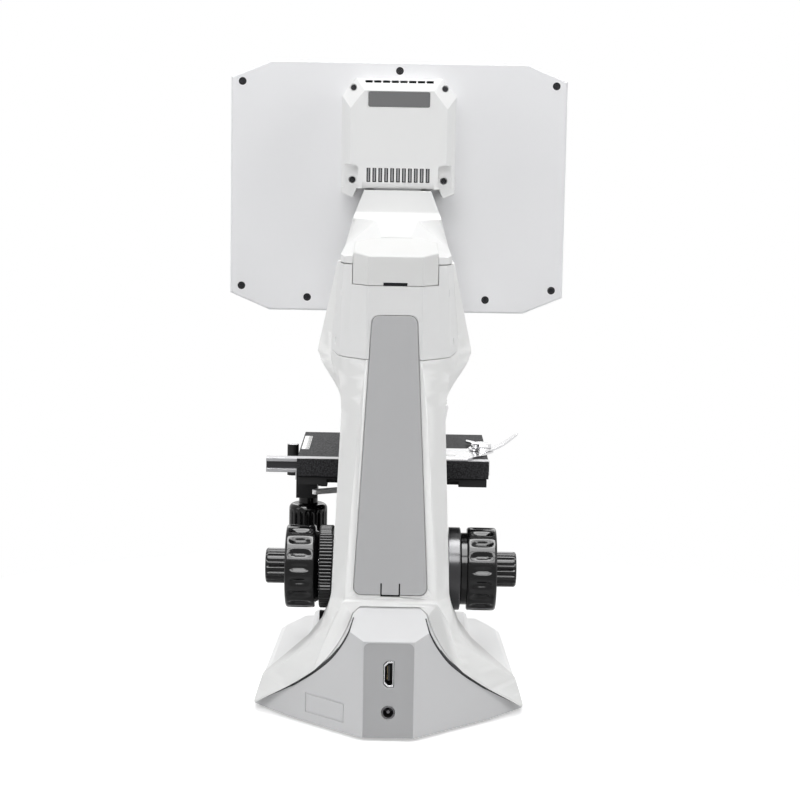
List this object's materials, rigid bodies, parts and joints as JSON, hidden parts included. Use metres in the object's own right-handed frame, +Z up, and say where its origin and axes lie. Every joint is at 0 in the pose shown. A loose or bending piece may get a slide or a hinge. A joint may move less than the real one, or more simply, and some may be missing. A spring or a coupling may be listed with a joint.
{
  "type": "lcd digital microscope",
  "caption": "Compound microscope with a tilting screen in place of eyepieces, a revolving nosepiece, an XY stage, a focusing condenser and coaxial focus knobs.",
  "frame": {"origin": "centre of the overall bounding box in plan, on the bench plane under the rubber feet", "axes": "+Z up, -Y towards the user and the screen's picture side, +Y towards the connectors at the rear, +X to the user's right"},
  "size_m": [0.22, 0.225, 0.3962],
  "materials": {
    "white_enamel": "die casting with smooth semi-gloss white enamel",
    "white_plastic": "fine matte",
    "grey_plastic": "fine matte",
    "light_grey_plastic": "fine matte",
    "dark_plastic": "fine matte",
    "black_knob": "satin",
    "black_metal": "fine black crackle paint",
    "black_anodised": "anodised",
    "chrome": "bright",
    "steel": "machined",
    "aluminium": "machined",
    "brass": "machined",
    "rubber": "matte",
    "glass": "polished",
    "screen_glass": "glossy",
    "board_green": "solder mask",
    "screw_black": "blackened"
  },
  "bodies": {
    "stand": {"base_casting": "white_enamel", "base_bottom_plate": "black_metal", "rubber_feet": "rubber", "base_plate_screws": "screw_black", "arm_casting": "white_enamel", "head_casting": "white_enamel", "focus_housing": "white_enamel", "arm_cover_screws": "screw_black", "upper_arm_cover": "white_plastic", "arm_cap": "white_plastic", "head_top_cover": "white_plastic", "rear_connector_cover": "dark_plastic", "connector_board": "board_green", "hdmi_receptacle": "steel", "dc_power_jack": "steel", "nosepiece_mount": "black_metal", "tube_lens_cell": "black_anodised", "tube_lens": "glass", "camera_board": "board_green", "collector_housing": "black_metal", "collector_lens": "glass", "led_module": "board_green", "shaft_bushings": "brass", "focus_guide": "steel", "hinge_bracket": "steel"},
    "access_cover": {"rear_access_cover": "grey_plastic"},
    "dimmer": {"dimmer_knob": "black_knob"},
    "screen": {"lcd_rear_cover": "white_plastic", "lcd_bezel": "light_grey_plastic", "lcd_panel": "screen_glass", "display_board": "board_green", "lcd_case_screws": "screw_black", "lcd_hump_cover": "white_plastic", "hinge_leaf": "steel"},
    "nosepiece": {"nosepiece_turret": "black_anodised", "objective_4x": "chrome", "objective_10x": "chrome", "objective_40x": "chrome", "objective_100x": "chrome"},
    "tension": {"tension_ring": "black_knob"},
    "limit": {"limit_ring": "black_knob"},
    "coarse": {"coarse_shaft": "steel", "coarse_knobs": "black_knob"},
    "fine": {"fine_shaft": "steel", "fine_knobs": "black_knob"},
    "carriage": {"focus_carriage": "black_metal", "focus_rack": "steel"},
    "stage_base": {"stage_bracket": "black_metal"},
    "stage_plate": {"stage_top_plate": "black_metal", "stage_drive_block": "black_metal"},
    "y_knob": {"y_drive_knob": "black_knob"},
    "x_knob": {"x_drive_knob": "black_knob"},
    "x_carriage": {"x_rail": "aluminium", "slide_holder": "chrome"},
    "finger": {"holder_finger": "chrome"},
    "condenser_unit": {"condenser_carrier": "black_metal", "condenser": "black_metal", "condenser_lens": "glass"},
    "iris": {"iris_lever": "chrome"},
    "condenser_drive": {"condenser_knob": "black_knob"}
  },
  "joints": [
    {"name": "lcd_tilt", "type": "hinge", "parent": "stand", "child": "screen", "pos_m": [0, -0.0575, 0.3196], "axis": [-1, 0, 0], "range_deg": [0, 25]},
    {"name": "access_cover_pull", "type": "slide", "parent": "stand", "child": "access_cover", "axis": [0, 1, 0], "range_m": [0, 0.03]},
    {"name": "dimmer_turn", "type": "hinge", "parent": "stand", "child": "dimmer", "pos_m": [0.038, 0.0205, 0.05], "axis": [1, 0, 0], "range_deg": [0, 270]},
    {"name": "nosepiece_turn", "type": "hinge", "parent": "stand", "child": "nosepiece", "pos_m": [0, -0.01843, 0.20305], "axis": [0, -0.2079, 0.9781], "continuous": true},
    {"name": "tension_turn", "type": "hinge", "parent": "stand", "child": "tension", "pos_m": [0.038, 0.0375, 0.0866], "axis": [1, 0, 0], "range_deg": [-90, 90]},
    {"name": "limit_turn", "type": "hinge", "parent": "stand", "child": "limit", "pos_m": [-0.038, 0.0375, 0.0866], "axis": [1, 0, 0], "range_deg": [-90, 90]},
    {"name": "coarse_slide", "type": "slide", "parent": "stand", "child": "carriage", "axis": [0, 0, 1], "range_m": [-0.018, 0.0033]},
    {"name": "coarse_turn", "type": "hinge", "parent": "stand", "child": "coarse", "pos_m": [0, 0.0375, 0.0866], "axis": [1, 0, 0], "range_deg": [-35, 175]},
    {"name": "fine_turn", "type": "hinge", "parent": "stand", "child": "fine", "pos_m": [0, 0.0375, 0.0866], "axis": [1, 0, 0], "range_deg": [-1444, 1444]},
    {"name": "fine_slide", "type": "slide", "parent": "carriage", "child": "stage_base", "axis": [0, 0, 1], "range_m": [-0.0008, 0.0008]},
    {"name": "stage_y", "type": "slide", "parent": "stage_base", "child": "stage_plate", "axis": [0, 1, 0], "range_m": [-0.012, 0.012]},
    {"name": "y_knob_turn", "type": "hinge", "parent": "stage_plate", "child": "y_knob", "pos_m": [0.0545, -0.0375, 0.1], "axis": [0, 0, 1], "range_deg": [-90, 90]},
    {"name": "stage_x", "type": "slide", "parent": "stage_plate", "child": "x_carriage", "axis": [1, 0, 0], "range_m": [-0.035, 0.025]},
    {"name": "x_knob_turn", "type": "hinge", "parent": "stage_plate", "child": "x_knob", "pos_m": [0.0545, -0.0375, 0.078], "axis": [0, 0, 1], "range_deg": [-460, 460]},
    {"name": "finger_swing", "type": "hinge", "parent": "x_carriage", "child": "finger", "pos_m": [-0.056, -0.0195, 0.1519], "axis": [0, 0, -1], "range_deg": [0, 25], "stiffness_Nm_per_rad": 0.15, "springref_deg": -20.05},
    {"name": "condenser_slide", "type": "slide", "parent": "stage_base", "child": "condenser_unit", "axis": [0, 0, 1], "range_m": [-0.009, 0]},
    {"name": "condenser_turn", "type": "hinge", "parent": "stage_base", "child": "condenser_drive", "pos_m": [-0.025, -0.0125, 0.118], "axis": [1, 0, 0], "range_deg": [-105, 1]},
    {"name": "iris_swing", "type": "hinge", "parent": "condenser_unit", "child": "iris", "pos_m": [0, -0.0375, 0.124], "axis": [0, 0, 1], "range_deg": [0, 15]}
  ],
  "couplings": [
    {"joint": "coarse_turn", "follows": "coarse_slide", "rad_per_m": -166.67},
    {"joint": "fine_turn", "follows": "fine_slide", "rad_per_m": -31416},
    {"joint": "y_knob_turn", "follows": "stage_y", "rad_per_m": 125},
    {"joint": "x_knob_turn", "follows": "stage_x", "rad_per_m": 200},
    {"joint": "condenser_turn", "follows": "condenser_slide", "rad_per_m": 200}
  ]
}
